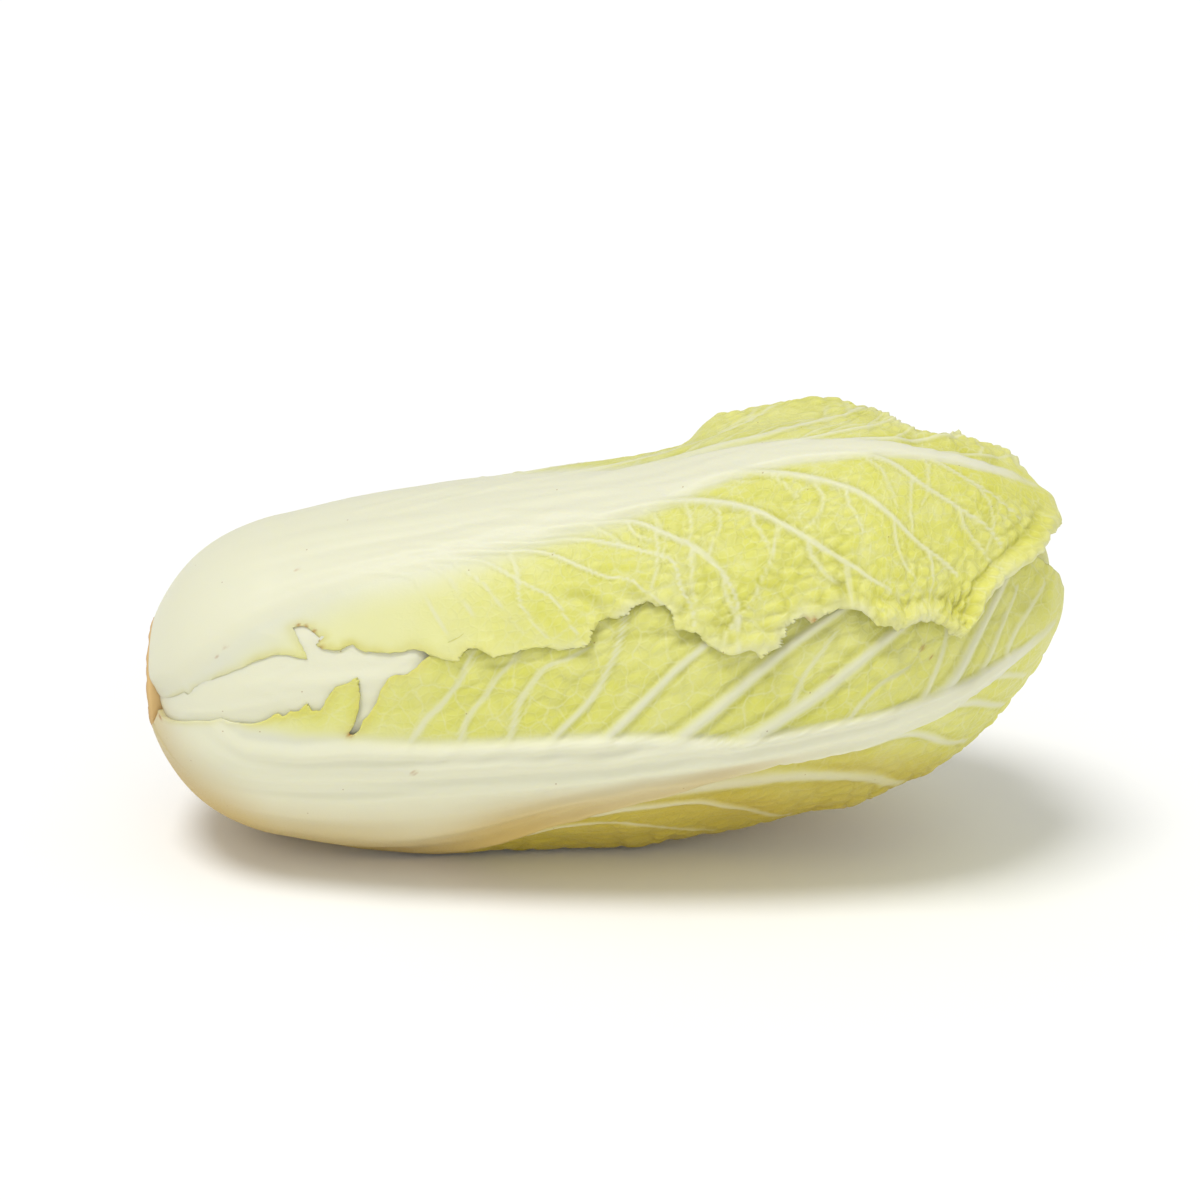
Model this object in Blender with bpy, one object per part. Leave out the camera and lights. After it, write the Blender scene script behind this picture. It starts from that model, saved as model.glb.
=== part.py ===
# Napa cabbage, one whole head lying on its side. Units are metres and +Z is up.
# The cut stem end points to -X, the leaf tips to +X, and the head rests on z = 0.
# Every leaf is its own closed solid, wrapped round the head at its own depth.

import math

import bmesh
import bpy
import numpy as np

MM = 0.001
DEG = math.pi / 180

# The head's outline: a barrel between two rounded ends, measured from the stem end.
HEAD_LENGTH = 300 * MM
STEM_END_CENTRE = 45 * MM
TIP_END_CENTRE = 225 * MM
BARREL_AT = np.array([45, 66, 98, 131, 163, 195, 225]) * MM
BARREL_RADIUS = np.array([53.2, 57.4, 60.8, 63.3, 64.6, 65.6, 64]) * MM
STEM_END_AT = np.array([0, 15, 40, 55, 77, 90]) * DEG
STEM_END_RADIUS = np.array([46.6, 46.8, 48, 49.4, 51.4, 53.2]) * MM
TIP_END_AT = np.array([0, 20, 31, 56, 71, 90]) * DEG
TIP_END_RADIUS = np.array([74.6, 73.2, 70, 64.4, 62.8, 64]) * MM

# The head sags a little onto the table, and its tip end lies higher than its stem end.
AXIS_AT = np.array([0, 40, 80, 130, 165, 195, 228, 262, 300]) * MM
AXIS_HEIGHT = np.array([55, 55.2, 57, 60.8, 64.4, 71.6, 78.5, 83.4, 87]) * MM
SIDE_SPREAD = 1.04

# The middle of the finished head along X and Y, measured from the stem end's own axis.
MIDDLE = (148.72 * MM, -0.13 * MM)

# Lengths along a leaf's own middle line, over the stem end, the barrel and the tip end.
STEM_CONE = 26 * DEG
OVER_STEM_END = 54 * MM
OVER_BARREL = TIP_END_CENTRE - STEM_END_CENTRE
OVER_TIP_END = 104 * MM
TO_POLE = OVER_STEM_END + OVER_BARREL + OVER_TIP_END

LAYER_GAP = 0.9 * MM
BLADE = 1.0 * MM
SIDE_RIB_SWEEP_POWER = 0.65
LEAN_AT = (0, 0.25, 0.45, 0.6, 0.7, 0.8, 0.9, 1)
LEAN = np.array([0, 0.28, 0.74, 0.88, 0.74, 0.42, 0.02, -0.36])

# Depths below the head's outline. A layer is the room of one ring of stalks.
RUN_AT = np.array([0, 60, 120, 180, 240, 340]) * MM
OUTER_LAYER = np.array([8.8, 8.6, 7.6, 7.0, 6.8, 6.6]) * MM
SECOND_LAYER = np.array([6.4, 6.4, 6.4, 6.4, 6.6, 6.6]) * MM
THIRD_LAYER = np.array([5.8, 5.8, 5.8, 5.8, 5.8, 5.8]) * MM
DEEPER = 2.6 * MM

# The stem: its cut face, and how far its cone runs into the heart.
CUT_FACE = 2.0 * MM
CUT_RADIUS = 18.8 * MM
STEM_GAP = 0.7 * MM
CORE_HOLLOW = 38 * MM

LEAF_WHITE = (0.80, 0.81, 0.62)
LEAF_GREEN = (0.74, 0.75, 0.24)
HEART_YELLOW = (0.80, 0.76, 0.30)
STEM_CREAM = (0.74, 0.66, 0.42)


def along(stations, values, at):
    """A smooth curve through the stations, read at these places."""
    stations = np.asarray(stations, float)
    values = np.asarray(values, float)
    slope = np.gradient(values, stations)
    at = np.clip(at, stations[0], stations[-1])
    i = np.clip(np.searchsorted(stations, at) - 1, 0, len(stations) - 2)
    step = stations[i + 1] - stations[i]
    t = (at - stations[i]) / step
    return (
        (2 * t**3 - 3 * t**2 + 1) * values[i]
        + (t**3 - 2 * t**2 + t) * step * slope[i]
        + (3 * t**2 - 2 * t**3) * values[i + 1]
        + (t**3 - t**2) * step * slope[i + 1]
    )


def ease(start, end, at):
    """0 before start, 1 after end, and a smooth step between them."""
    t = np.clip((at - start) / (end - start), 0, 1)
    return t * t * (3 - 2 * t)


def head_point(run, turn, spine, depth):
    """The point this far along a leaf's middle line and this far round to its side.

    turn is the sideways angle, spine the leaf's angle round the head (0 faces -Y and
    90 degrees faces up) and depth the distance under the head's outline.
    """
    run, turn, spine, depth = np.broadcast_arrays(run, turn, spine, depth)
    share = np.clip(run / OVER_STEM_END, 0, 1)
    rise = STEM_CONE + share * (math.pi / 2 - STEM_CONE)
    stem_radius = along(STEM_END_AT, STEM_END_RADIUS, rise) - depth

    barrel_x = STEM_END_CENTRE + run - OVER_STEM_END
    barrel_radius = along(BARREL_AT, BARREL_RADIUS, barrel_x) - depth

    over_tip = (run - OVER_STEM_END - OVER_BARREL) / OVER_TIP_END
    swing = math.pi / 2 * (1 - np.maximum(over_tip, 0))
    forward = np.cos(turn) * np.cos(swing)
    from_pole = np.arccos(np.clip(forward, -1, 1))
    tip_radius = along(TIP_END_AT, TIP_END_RADIUS, from_pole) - depth

    on_stem, on_tip = run < OVER_STEM_END, over_tip > 0
    x = np.where(
        on_stem, STEM_END_CENTRE - stem_radius * np.cos(rise),
        np.where(on_tip, TIP_END_CENTRE + tip_radius * forward, barrel_x),
    )
    reach = np.where(
        on_stem, stem_radius * np.sin(rise), np.where(on_tip, tip_radius, barrel_radius)
    )
    out = reach * np.cos(turn) * np.where(on_tip, np.sin(swing), 1)
    side = reach * np.sin(turn)

    y = (side * np.sin(spine) - out * np.cos(spine)) * SIDE_SPREAD
    z = out * np.sin(spine) + side * np.cos(spine) + along(AXIS_AT, AXIS_HEIGHT, x)
    return np.stack([x - MIDDLE[0], y - MIDDLE[1], z], axis=-1)


def material(name, colour, roughness=0.5):
    made = bpy.data.materials.new(name)
    made.use_nodes = True
    shader = made.node_tree.nodes["Principled BSDF"]
    shader.inputs["Base Color"].default_value = (*colour, 1)
    shader.inputs["Roughness"].default_value = roughness
    return made


def add_object(name, bm, skin):
    """Turns the finished bmesh into the object of this name."""
    bmesh.ops.recalc_face_normals(bm, faces=bm.faces)
    mesh = bpy.data.meshes.new(name)
    bm.to_mesh(mesh)
    bm.free()
    mesh.materials.append(skin)
    mesh.shade_smooth()
    made = bpy.data.objects.new(name, mesh)
    bpy.context.scene.collection.objects.link(made)
    return made


def two_skins(name, outer, inner, skin):
    """A leaf: its outer and inner faces, split into triangles alike, and its edge all round."""
    rows, columns = outer.shape[:2]
    bm = bmesh.new()
    sheets = [
        [[bm.verts.new(p) for p in line] for line in sheet] for sheet in (outer, inner)
    ]
    for sheet, flip in zip(sheets, (False, True)):
        for i in range(rows - 1):
            for j in range(columns - 1):
                a, b = sheet[i][j], sheet[i + 1][j]
                c, d = sheet[i + 1][j + 1], sheet[i][j + 1]
                # The split leans with the side ribs, which run out from the middle.
                halves = ((a, b, c), (a, c, d)) if j >= columns // 2 else ((a, b, d), (b, c, d))
                for face in halves:
                    bm.faces.new(face[::-1] if flip else face)
    rim = [(i, 0) for i in range(rows)] + [(rows - 1, j) for j in range(1, columns)]
    rim += [(i, columns - 1) for i in range(rows - 2, -1, -1)]
    rim += [(0, j) for j in range(columns - 2, 0, -1)]
    for (i, j), (k, m) in zip(rim, rim[1:] + rim[:1]):
        bm.faces.new((sheets[0][i][j], sheets[1][i][j], sheets[1][k][m]))
        bm.faces.new((sheets[0][i][j], sheets[1][k][m], sheets[0][k][m]))
    return add_object(name, bm, skin)


def rib_lines(ribs, per_rib, first=0.2, last=0.93):
    """Where the lines across a leaf lie, from 0 at the stem to 1 at the tip.

    Each side rib has a line on its crest and the others beside it and in the valley.
    A leaf with no side ribs has fewer lines on the barrel than where the ends curve.
    """
    if not ribs:
        return np.concatenate([[0, 0.05, 0.1], np.linspace(0.16, 0.7, 7), np.linspace(0.75, 1, 7)])
    stalk = np.linspace(0, first, 7)[:-1]
    blade = np.linspace(first, last, ribs * per_rib + 1)
    return np.concatenate([stalk, blade, [0.97, 1.0]])


def leaf(name, skin, spine, tip, low_side, high_side, stalk, layer, blade_depth,
         ribs, per_rib, columns, rib_height, sweep, ruffle, flare=(0, 0), rests=False):
    """One leaf. Angles are in degrees and the other sizes in metres.

    spine is its angle round the head at the stem, half way and at the tip, tip its length,
    low_side and high_side the half widths of its two margins as pairs (millimetres from
    the stem, degrees), and stalk the half width of its white stalk from stem to tip.
    layer is the depth where its layer starts and the layer's room.
    """
    at = rib_lines(ribs, per_rib)[:, None]
    half = np.sin(np.linspace(0, 1, columns // 2 + 1) * 0.4 * math.pi) / math.sin(0.4 * math.pi)
    across = np.concatenate([-half[:0:-1], half])[None, :]
    out = np.abs(across)

    # The side ribs lean towards the tip, and the last of them curve back round it.
    lean = along(LEAN_AT, LEAN, at) * sweep
    run = tip * at + lean * out**SIDE_RIB_SWEEP_POWER
    edge = tip * at + lean
    low, high = (np.array(side).T * ((MM,), (1,)) for side in (low_side, high_side))
    wide = np.where(across < 0, np.interp(edge, *low), np.interp(edge, *high))
    waves = 2 * math.pi * 9 * at
    wide = wide * (1 + 0.02 * np.sin(waves + 1.1 * np.sign(across)) * ease(0.25, 0.5, at))
    turn = across * wide * DEG
    middle = along([0, tip / 2, tip], spine, run) * DEG

    start = along(RUN_AT, layer[0], run)
    room = along(RUN_AT, layer[1], run)
    stalk_at = np.linspace(0, tip, len(stalk))
    in_blade = ease(0.45, 1.2, np.abs(turn) / (along(stalk_at, stalk, run) * DEG))
    in_blade = np.maximum(in_blade, ease(0.78, 0.92, run / tip))
    grown = ease(0.1, 0.3, at)
    sunk = blade_depth * grown + 1.6 * MM * (1 - grown)
    thick = BLADE + 1.2 * MM * (1 - grown)

    # A side rib is a ridge on its own line, lower towards the leaf's edge.
    beat = np.cos(2 * math.pi * (at - 0.2) / 0.73 * max(ribs, 1))
    ridge = rib_height * np.clip(beat, 0, 1) ** 2 * ease(0.2, 0.32, at) * (1 - ease(0.55, 1.0, out))
    ridge = ridge * (1 - ease(0.93, 1, at))
    curl = ruffle * ease(0.72, 1, out) * ease(0.22, 0.45, at)
    curl = curl * (0.55 + 0.45 * np.sin(waves * 1.7 + 2 * np.sign(across)))
    flared = np.where(across > 0, flare[1], flare[0]) * ease(0.6, 1, out)
    flared = flared * np.exp(-(((run / tip - 0.68) / 0.16) ** 2))
    lift = curl + flared

    outer_depth = start + in_blade * (sunk - ridge) - lift
    inner_depth = start + (room - LAYER_GAP) * (1 - in_blade) + in_blade * (sunk + thick) - lift
    outer = head_point(run, turn, middle, outer_depth)
    inner = head_point(run, turn, middle, inner_depth)
    if rests:
        outer[..., 2] = np.maximum(outer[..., 2], 0)
    return two_skins(name, outer, inner, skin)


def outer_leaves(skin):
    """The four wrapper leaves: the upper one overlaps its neighbours, and the lowest is lain on."""
    top = (np.zeros(len(RUN_AT)), OUTER_LAYER)
    leaf(
        "leaf_outer_upper", skin, (70, 68, 76), 322 * MM,
        low_side=((0, 40), (31, 45), (48, 40), (64, 42), (80, 41), (110, 43), (138, 45),
                  (152, 42), (168, 33), (184, 45), (204, 56), (228, 47), (243, 53), (296, 50)),
        high_side=((0, 40), (40, 45), (90, 44), (130, 50), (160, 54), (200, 56), (240, 56), (300, 50)),
        stalk=(38, 42, 32, 18, 12, 7, 4, 3, 3),
        layer=top, blade_depth=1.5 * MM, ribs=7, per_rib=4, columns=16,
        rib_height=1.3 * MM, sweep=70 * MM, ruffle=3.0 * MM, flare=(0, 8 * MM),
    )
    leaf(
        "leaf_outer_front", skin, (-30, -24, -12), 332 * MM,
        low_side=((0, 34), (40, 38), (90, 40), (130, 46), (180, 52), (240, 50), (300, 46)),
        high_side=((0, 28), (31, 32), (56, 33), (70, 43), (83, 30), (94, 42), (106, 52),
                   (140, 62), (190, 64), (240, 60), (300, 52)),
        stalk=(34, 36, 28, 20, 13, 8, 5, 3, 3),
        layer=top, blade_depth=4.3 * MM, ribs=7, per_rib=4, columns=16,
        rib_height=1.2 * MM, sweep=76 * MM, ruffle=0,
    )
    leaf(
        "leaf_outer_back", skin, (166, 165, 170), 318 * MM,
        low_side=((0, 40), (40, 44), (90, 46), (130, 54), (180, 60), (240, 58), (300, 50)),
        high_side=((0, 40), (40, 44), (90, 46), (130, 50), (180, 54), (240, 54), (300, 48)),
        stalk=(38, 40, 30, 20, 13, 8, 5, 3, 3),
        layer=top, blade_depth=4.3 * MM, ribs=6, per_rib=3, columns=14,
        rib_height=1.2 * MM, sweep=70 * MM, ruffle=0,
    )
    leaf(
        "leaf_outer_under", skin, (-106, -94, -96), 304 * MM,
        low_side=((0, 38), (40, 42), (90, 48), (130, 58), (180, 64), (240, 62), (290, 52)),
        high_side=((0, 38), (40, 36), (90, 28), (130, 24), (180, 24), (240, 26), (290, 30)),
        stalk=(36, 38, 32, 24, 17, 10, 6, 4, 3),
        layer=top, blade_depth=1.5 * MM, ribs=6, per_rib=3, columns=14,
        rib_height=1.2 * MM, sweep=60 * MM, ruffle=1.5 * MM, rests=True,
    )


def second_leaves(skin):
    """Four leaves that cover the gaps between the wrappers. Every other one lies deeper."""
    layer = (OUTER_LAYER, SECOND_LAYER)
    side = ((0, 36), (40, 40), (90, 44), (150, 52), (200, 52), (250, 48), (310, 44))
    for name, spine, tip, depth in (
        ("leaf_second_front", (16, 22, 26), 332 * MM, 0),
        ("leaf_second_upper", (110, 112, 114), 322 * MM, DEEPER),
        ("leaf_second_back", (-160, -158, -156), 314 * MM, 0),
        ("leaf_second_under", (-72, -68, -66), 318 * MM, DEEPER),
    ):
        leaf(
            name, skin, spine, tip, low_side=side, high_side=side,
            stalk=(34, 38, 28, 18, 12, 7, 5, 4, 4),
            layer=layer, blade_depth=depth + 0.7 * MM, ribs=0, per_rib=0, columns=12,
            rib_height=0, sweep=60 * MM, ruffle=0,
        )


def third_leaves(skin):
    """Four younger leaves, shorter in the stalk and closer to the heart."""
    layer = (OUTER_LAYER + SECOND_LAYER, THIRD_LAYER)
    side = ((0, 36), (40, 40), (90, 46), (150, 50), (200, 50), (250, 46), (310, 40))
    for name, spine, tip, depth in (
        ("leaf_third_front", (-22, -20, -20), 322 * MM, 0),
        ("leaf_third_upper", (68, 70, 74), 330 * MM, DEEPER),
        ("leaf_third_back", (158, 160, 160), 316 * MM, 0),
        ("leaf_third_under", (-112, -110, -108), 318 * MM, DEEPER),
    ):
        leaf(
            name, skin, spine, tip, low_side=side, high_side=side,
            stalk=(34, 36, 26, 18, 12, 7, 5, 4, 4),
            layer=layer, blade_depth=depth + 0.5 * MM, ribs=0, per_rib=0, columns=10,
            rib_height=0, sweep=56 * MM, ruffle=0,
        )


def heart(skin):
    """The packed young leaves: one body, with their rolled edges standing out of it in a spiral."""
    rows, columns, folds = 24, 32, 6
    start = OUTER_LAYER + SECOND_LAYER + THIRD_LAYER
    run = np.linspace(3 * MM, TO_POLE - 4 * MM, rows)[:, None]
    turn = np.linspace(0, 2 * math.pi, columns, endpoint=False)[None, :]
    # Each fold rises slowly round the heart and drops at the next leaf's edge.
    spiral = (folds * turn / (2 * math.pi) + 2.4 * run / TO_POLE) % 1
    fold = 2.4 * MM * (1 - spiral) ** 0.8 * ease(0.1, 0.4, run / TO_POLE)
    frill = 0.8 * MM * np.sin(14 * math.pi * run / TO_POLE + 3 * turn) * ease(0.7, 0.9, run / TO_POLE)
    depth = along(RUN_AT, start, run) + fold + frill + 1.5 * MM
    points = head_point(run, 0, turn, depth)

    bm = bmesh.new()
    rings = [[bm.verts.new(p) for p in ring] for ring in points]
    for ring, nxt in zip(rings, rings[1:]):
        for j in range(columns):
            k = (j + 1) % columns
            bm.faces.new((ring[j], ring[k], nxt[k], nxt[j]))
    # The stem's cone stands in a hollow at the bottom, and the top is closed.
    for ring, deep in ((rings[0], CORE_HOLLOW), (rings[-1], 0)):
        middle = sum((v.co for v in ring), ring[0].co * 0) / columns
        middle = bm.verts.new((middle.x + deep, middle.y, middle.z))
        for j in range(columns):
            bm.faces.new((ring[j], middle, ring[(j + 1) % columns]))
    return add_object("heart", bm, skin)


def stem(skin):
    """The cut stem: a cone that runs on into the heart, with the leaf bases round it."""
    shoulder = 19 * MM
    slope = math.tan(STEM_CONE)
    profile = [(CUT_FACE + 0.9 * MM, 0), (CUT_FACE, 9 * MM), (CUT_FACE, CUT_RADIUS)]
    for x in (CUT_FACE + 1.2 * MM, 12 * MM, shoulder):
        profile.append((x, (STEM_END_CENTRE - x) * slope - STEM_GAP))
    profile.append((shoulder + CORE_HOLLOW - 4 * MM, 0.9 * MM))
    profile.append((shoulder + CORE_HOLLOW - 3 * MM, 0))

    bm = bmesh.new()
    drop = along(AXIS_AT, AXIS_HEIGHT, 0)
    line = [bm.verts.new((x - MIDDLE[0], -MIDDLE[1], r + drop)) for x, r in profile]
    edges = [bm.edges.new(pair) for pair in zip(line, line[1:])]
    bmesh.ops.spin(
        bm, geom=line + edges, cent=(0, -MIDDLE[1], drop), axis=(1, 0, 0),
        angle=2 * math.pi, steps=28,
    )
    bmesh.ops.remove_doubles(bm, verts=bm.verts, dist=0.01 * MM)
    return add_object("stem", bm, skin)


def build():
    for obj in list(bpy.data.objects):
        bpy.data.objects.remove(obj)
    green = material("leaf blade and rib", LEAF_GREEN, 0.45)
    white = material("inner leaf", LEAF_WHITE, 0.45)
    outer_leaves(green)
    second_leaves(green)
    third_leaves(white)
    heart(material("heart leaves", HEART_YELLOW, 0.5))
    stem(material("cut stem", STEM_CREAM, 0.7))


build()
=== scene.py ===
# A napa cabbage lying on its side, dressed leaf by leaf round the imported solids.
# The cut stem points to -X, the leaf tips to +X, and -Y is the side in the photograph.
# A place on a leaf is (millimetres from the stem end, degrees sideways from its middle).

import math

import bpy
import numpy as np
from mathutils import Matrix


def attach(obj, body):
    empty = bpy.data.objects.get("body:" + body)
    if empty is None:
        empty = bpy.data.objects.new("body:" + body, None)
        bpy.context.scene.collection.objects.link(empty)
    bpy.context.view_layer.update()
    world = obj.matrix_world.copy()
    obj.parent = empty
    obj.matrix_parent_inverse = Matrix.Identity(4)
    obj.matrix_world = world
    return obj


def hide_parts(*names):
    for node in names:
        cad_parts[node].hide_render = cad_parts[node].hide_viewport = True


mm = 0.001
deg = math.pi / 180

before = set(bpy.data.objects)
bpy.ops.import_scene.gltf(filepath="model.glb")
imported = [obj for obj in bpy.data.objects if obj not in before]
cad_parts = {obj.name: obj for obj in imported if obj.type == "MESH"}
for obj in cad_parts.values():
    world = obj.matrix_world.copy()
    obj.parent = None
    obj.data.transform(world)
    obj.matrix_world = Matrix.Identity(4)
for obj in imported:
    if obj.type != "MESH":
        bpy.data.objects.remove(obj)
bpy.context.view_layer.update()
print("frame loaded:", len(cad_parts), "nodes")

# The head's outline is the solids' own: a barrel between two rounded ends.
headShape = {
    "stemCentre": 45 * mm,
    "tipCentre": 225 * mm,
    "barrelAt": np.array([45, 66, 98, 131, 163, 195, 225]) * mm,
    "barrelRadius": np.array([53.2, 57.4, 60.8, 63.3, 64.6, 65.6, 64]) * mm,
    "stemAngle": np.array([0, 15, 40, 55, 77, 90]) * deg,
    "stemRadius": np.array([46.6, 46.8, 48, 49.4, 51.4, 53.2]) * mm,
    "tipAngle": np.array([0, 20, 31, 56, 71, 90]) * deg,
    "tipRadius": np.array([74.6, 73.2, 70, 64.4, 62.8, 64]) * mm,
    "axisAt": np.array([0, 40, 80, 130, 165, 195, 228, 262, 300]) * mm,
    "axisHeight": np.array([55, 55.2, 57, 60.8, 64.4, 71.6, 78.5, 83.4, 87]) * mm,
    "spread": 1.04,  # a little wider than high
    "middle": (148.72 * mm, -0.13 * mm),
    "stemCone": 26 * deg,
    "overStem": 54 * mm,
    "overBarrel": 180 * mm,
    "overTip": 104 * mm,
    "girth": 62,  # mm, the radius that turns degrees into millimetres for patterns
}

# How deep each ring of leaves lies, and how thick its stalks are.
layerShape = {
    "at": np.array([0, 60, 120, 180, 240, 340]) * mm,
    "outer": np.array([8.8, 8.6, 7.6, 7.0, 6.8, 6.6]) * mm,
    "second": np.array([6.4, 6.4, 6.4, 6.4, 6.6, 6.6]) * mm,
    "third": np.array([5.8, 5.8, 5.8, 5.8, 5.8, 5.8]) * mm,
    "deeper": 2.6,  # mm that every second leaf of a ring lies below its neighbours
    "leanAt": (0, 0.25, 0.45, 0.6, 0.7, 0.8, 0.9, 1),
    "lean": np.array([0, 0.28, 0.74, 0.88, 0.74, 0.42, 0.02, -0.36]),
}


def along(stations, values, at):
    # a smooth curve through the stations
    stations = np.asarray(stations, float)
    values = np.asarray(values, float)
    slope = np.gradient(values, stations)
    at = np.clip(at, stations[0], stations[-1])
    i = np.clip(np.searchsorted(stations, at) - 1, 0, len(stations) - 2)
    step = stations[i + 1] - stations[i]
    t = (at - stations[i]) / step
    return (
        (2 * t**3 - 3 * t**2 + 1) * values[i]
        + (t**3 - 2 * t**2 + t) * step * slope[i]
        + (3 * t**2 - 2 * t**3) * values[i + 1]
        + (t**3 - t**2) * step * slope[i + 1]
    )


def between(at, pairs):
    # straight lines through pairs of a place and its value
    return np.interp(at, *np.array(pairs, float).T)


def bell(away, width):
    # 1 where away is 0, and next to nothing beyond twice the width
    return np.exp(-((away / width) ** 2))


def ease(start, end, at):
    # 0 before start, 1 after end, a soft step between
    t = np.clip((at - start) / (end - start), 0, 1)
    return t * t * (3 - 2 * t)


def headPoint(run, turn, spine, depth):
    # run along the leaf, turn sideways, spine is the leaf's angle round the head
    h = headShape
    share = np.clip(run / h["overStem"], 0, 1)
    rise = h["stemCone"] + share * (math.pi / 2 - h["stemCone"])
    stemRadius = along(h["stemAngle"], h["stemRadius"], rise) - depth
    barrelX = h["stemCentre"] + run - h["overStem"]
    barrelRadius = along(h["barrelAt"], h["barrelRadius"], barrelX) - depth
    overTip = (run - h["overStem"] - h["overBarrel"]) / h["overTip"]
    swing = math.pi / 2 * (1 - np.maximum(overTip, 0))
    forward = np.cos(turn) * np.cos(swing)
    fromPole = np.arccos(np.clip(forward, -1, 1))
    tipRadius = along(h["tipAngle"], h["tipRadius"], fromPole) - depth
    onStem = run < h["overStem"]
    onTip = overTip > 0
    x = np.where(
        onStem, h["stemCentre"] - stemRadius * np.cos(rise),
        np.where(onTip, h["tipCentre"] + tipRadius * forward, barrelX),
    )
    reach = np.where(onStem, stemRadius * np.sin(rise), np.where(onTip, tipRadius, barrelRadius))
    out = reach * np.cos(turn) * np.where(onTip, np.sin(swing), 1)
    side = reach * np.sin(turn)
    y = (side * np.sin(spine) - out * np.cos(spine)) * h["spread"]
    z = out * np.sin(spine) + side * np.cos(spine) + along(h["axisAt"], h["axisHeight"], x)
    return np.stack([x - h["middle"][0], y - h["middle"][1], z], axis=-1)


def hills(u, v, size, seed):
    # soft random hills about one size across, from -1 to 1
    table = np.random.default_rng(seed).uniform(-1, 1, (64, 64))
    x, y = u / size + 31.7, v / size + 17.3
    i, j = np.floor(x).astype(int), np.floor(y).astype(int)
    s, t = x - i, y - j
    s, t = s * s * (3 - 2 * s), t * t * (3 - 2 * t)
    low = table[i % 64, j % 64] * (1 - s) + table[(i + 1) % 64, j % 64] * s
    high = table[i % 64, (j + 1) % 64] * (1 - s) + table[(i + 1) % 64, (j + 1) % 64] * s
    return low * (1 - t) + high * t


def fromWall(u, v, size, stretch, seed):
    # how far a place is from the nearest wall of a net of random cells, in millimetres
    offset = np.random.default_rng(seed).uniform(0.08, 0.92, (64, 64, 2))
    x, y = u / size, v / (size * stretch)
    i, j = np.floor(x).astype(int), np.floor(y).astype(int)
    nearest = np.full(len(u), 9.0)
    second = np.full(len(u), 9.0)
    for di in (-1, 0, 1):
        for dj in (-1, 0, 1):
            spot = offset[(i + di) % 64, (j + dj) % 64]
            away = np.hypot(i + di + spot[:, 0] - x, j + dj + spot[:, 1] - y)
            second = np.minimum(second, np.maximum(nearest, away))
            nearest = np.minimum(nearest, away)
    return (second - nearest) * size * 0.5


def smoothPath(points, perSpan=9):
    # a vein's line through its places, in millimetres along and across the leaf
    places = np.array(points, float)
    knots = np.arange(len(places))
    fine = np.linspace(0, len(places) - 1, (len(places) - 1) * perSpan + 1)
    across = places[:, 1] * deg * headShape["girth"]
    return np.stack([along(knots, places[:, 0], fine), along(knots, across, fine)], axis=1)


def nearPath(u, v, path, reach):
    # which places lie within reach of the path, how far from it, and how far along it
    low, high = path.min(axis=0) - reach, path.max(axis=0) + reach
    which = np.nonzero((u > low[0]) & (u < high[0]) & (v > low[1]) & (v < high[1]))[0]
    away = np.full(len(which), 1e3)
    share = np.zeros(len(which))
    steps = np.hypot(*np.diff(path, axis=0).T)
    gone = np.concatenate([[0], np.cumsum(steps)])
    for k in range(len(steps)):
        (ax, ay), (bx, by) = path[k], path[k + 1]
        dx, dy = u[which] - ax, v[which] - ay
        t = np.clip((dx * (bx - ax) + dy * (by - ay)) / max(steps[k] ** 2, 1e-9), 0, 1)
        d = np.hypot(dx - t * (bx - ax), dy - t * (by - ay))
        closer = d < away
        away = np.where(closer, d, away)
        share = np.where(closer, (gone[k] + t * steps[k]) / gone[-1], share)
    return which, away, share


def lift(field, which, values):
    # a field's places rise where these values are higher
    field[which] = np.maximum(field[which], values)


def ruledVeins(leaf, side, count, width, height, seed):
    # side veins by rule: each leaves the midrib low and bows out to the margin
    rng = np.random.default_rng(seed)
    margin = leaf["highSide" if side > 0 else "lowSide"]
    veins = []
    for k in range(count):
        start = leaf["tip"] * (0.14 + 0.76 * k / count) + rng.uniform(-3, 3)
        sweep = np.interp(k / count, [0, 0.3, 0.6, 1], [40, 66, 60, 22])
        end = min(start + sweep, leaf["tip"] - 12)
        reach = between(end, margin)
        q = np.array([0, 0.12, 0.3, 0.55, 0.8, 1.02])
        place = start + (end - start) * q**0.55 + rng.uniform(-1.5, 1.5, len(q))
        veins.append((width, height, list(zip(place, side * reach * q))))
    return veins


def branches(veins, seed, midribs=1):
    # finer veins leave each side vein at a sharp angle and zigzag on towards the margin
    rng = np.random.default_rng(seed)
    made = []
    for width, height, points in veins[midribs:]:
        if width < 1.2:
            continue
        path = smoothPath(points)
        steps = np.hypot(*np.diff(path, axis=0).T)
        gone = np.concatenate([[0], np.cumsum(steps)])
        side = np.sign(path[-1, 1])
        place = gone[-1] * 0.3 + rng.uniform(0, 6)
        while place < gone[-1] - 8:
            k = min(int(np.searchsorted(gone, place)), len(path) - 2)
            heading = math.atan2(*(path[k + 1] - path[k])[::-1])
            angle = heading + side * rng.uniform(22, 52) * deg
            spot = path[k].copy()
            line = [spot.copy()]
            for leg in range(rng.integers(3, 6)):
                length = rng.uniform(4, 7.5)
                for part in range(4):
                    spot = spot + np.array([math.cos(angle), math.sin(angle)]) * length / 4
                    angle += rng.uniform(-0.09, 0.09)
                    line.append(spot.copy())
                angle += side * rng.uniform(-0.42, 0.5)
            made.append((rng.uniform(0.5, 0.72), 0.5, np.array(line)))
            place += rng.uniform(9, 17) if path[k, 0] < 230 else rng.uniform(14, 24)
    return made


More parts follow.
